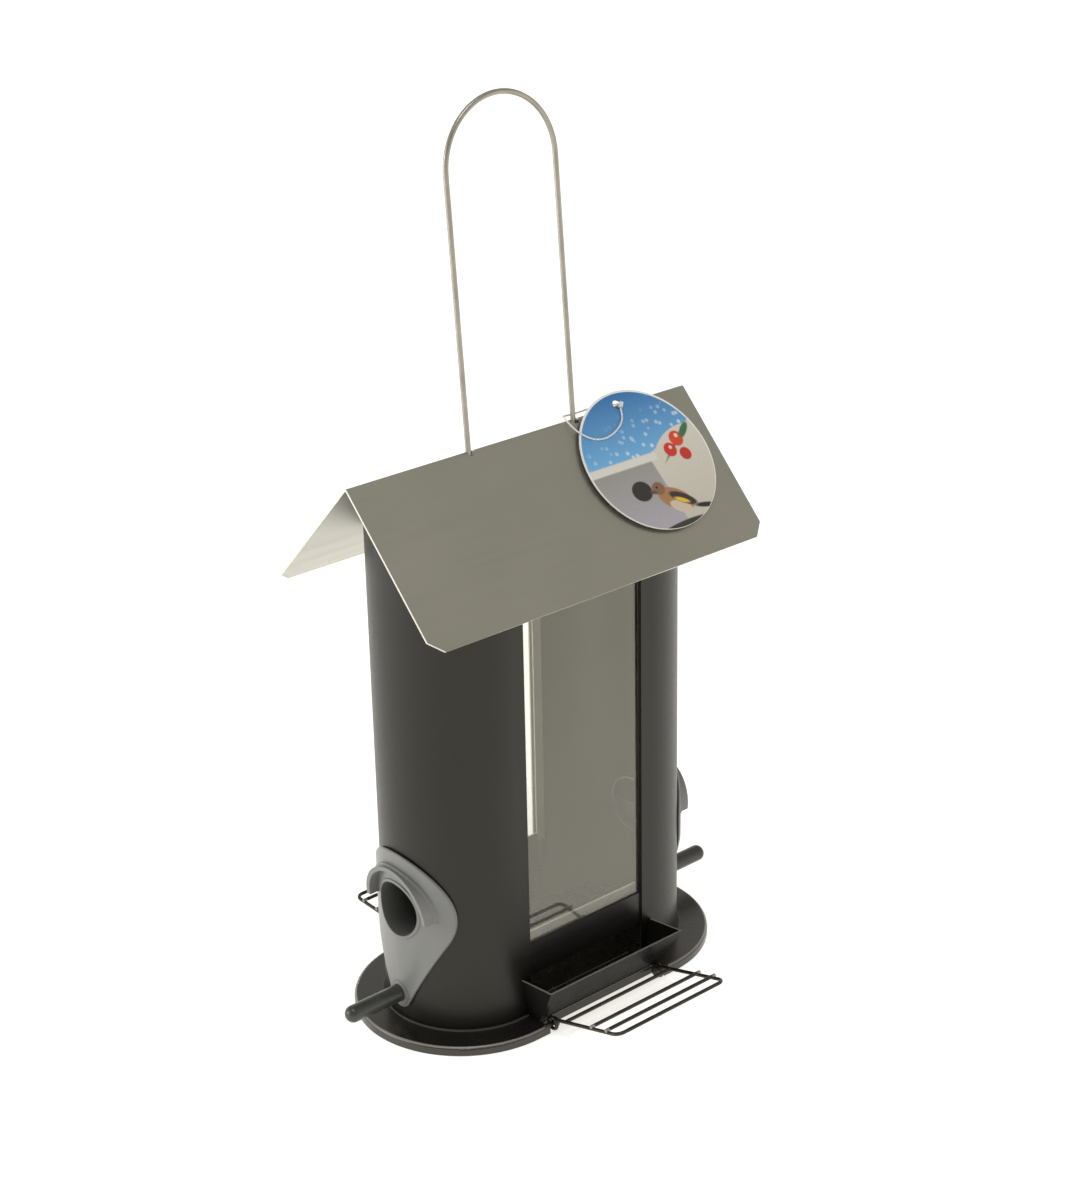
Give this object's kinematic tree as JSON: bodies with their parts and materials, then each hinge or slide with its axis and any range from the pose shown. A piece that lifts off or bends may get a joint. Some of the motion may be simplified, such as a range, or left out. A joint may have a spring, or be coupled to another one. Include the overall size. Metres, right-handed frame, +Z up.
{
  "type": "hanging bird feeder",
  "caption": "Hanging seed feeder with a lift-up gable roof on a wire hanger, clear windows, trays, fold-up wire perches and end ports with pegs.",
  "frame": {"origin": "centre of the base's underside, on the plane the feeder stands on", "axes": "+Z up along the hanger, +X along the roof ridge to the right-hand port, -Y towards the front tray"},
  "size_m": [0.2302, 0.1979, 0.4283],
  "materials": {
    "roof_steel": "satin warm grey metallic",
    "anthracite_steel": "satin anthracite",
    "black_steel": "semi-gloss black",
    "zinc_steel": "zinc plated",
    "hanger_wire": "galvanised wire",
    "grey_plastic": "satin moulded grey",
    "clear_plastic": "clear polished sheet",
    "rack_wire": "black-bronze coated wire",
    "tag_card": "gloss printed card",
    "loop_plastic": "clear nylon"
  },
  "bodies": {
    "body": {"base_plate": "black_steel", "left_casing": "anthracite_steel", "right_casing": "anthracite_steel", "left_hanger_strap": "zinc_steel", "right_hanger_strap": "zinc_steel", "strap_rivets": "zinc_steel", "hanger": "hanger_wire", "hanger_push_nuts": "zinc_steel", "left_port": "grey_plastic", "right_port": "grey_plastic", "left_peg": "grey_plastic", "right_peg": "grey_plastic", "peg_washers": "zinc_steel", "front_window": "clear_plastic", "back_window": "clear_plastic", "front_sill": "anthracite_steel", "back_sill": "anthracite_steel", "front_tray": "black_steel", "back_tray": "black_steel", "front_left_channel": "anthracite_steel", "front_right_channel": "anthracite_steel", "back_left_channel": "anthracite_steel", "back_right_channel": "anthracite_steel", "seed_deflector": "black_steel", "rack_hinge_pins": "rack_wire"},
    "roof": {"roof": "roof_steel", "tag_loop": "loop_plastic", "tag_lock": "loop_plastic"},
    "tag": {"hang_tag": "tag_card"},
    "front_rack": {"front_rack_frame": "rack_wire", "front_rack_rail_1": "rack_wire", "front_rack_rail_2": "rack_wire", "front_rack_rail_3": "rack_wire"},
    "back_rack": {"back_rack_frame": "rack_wire", "back_rack_rail_1": "rack_wire", "back_rack_rail_2": "rack_wire", "back_rack_rail_3": "rack_wire"}
  },
  "joints": [
    {"name": "roof_lift", "type": "slide", "parent": "body", "child": "roof", "axis": [0, 0.075, 0.9972], "range_m": [0, 0.116]},
    {"name": "tag_swing", "type": "hinge", "parent": "roof", "child": "tag", "pos_m": [0.0555, -0.00235, 0.27571], "axis": [0, -0.7257, 0.688], "range_deg": [-5, 35]},
    {"name": "front_rack_fold", "type": "hinge", "parent": "body", "child": "front_rack", "pos_m": [0, -0.052, 0.0038], "axis": [-1, 0, 0], "range_deg": [0, 40]},
    {"name": "back_rack_fold", "type": "hinge", "parent": "body", "child": "back_rack", "pos_m": [0, 0.052, 0.0038], "axis": [1, 0, 0], "range_deg": [0, 52.5]}
  ]
}
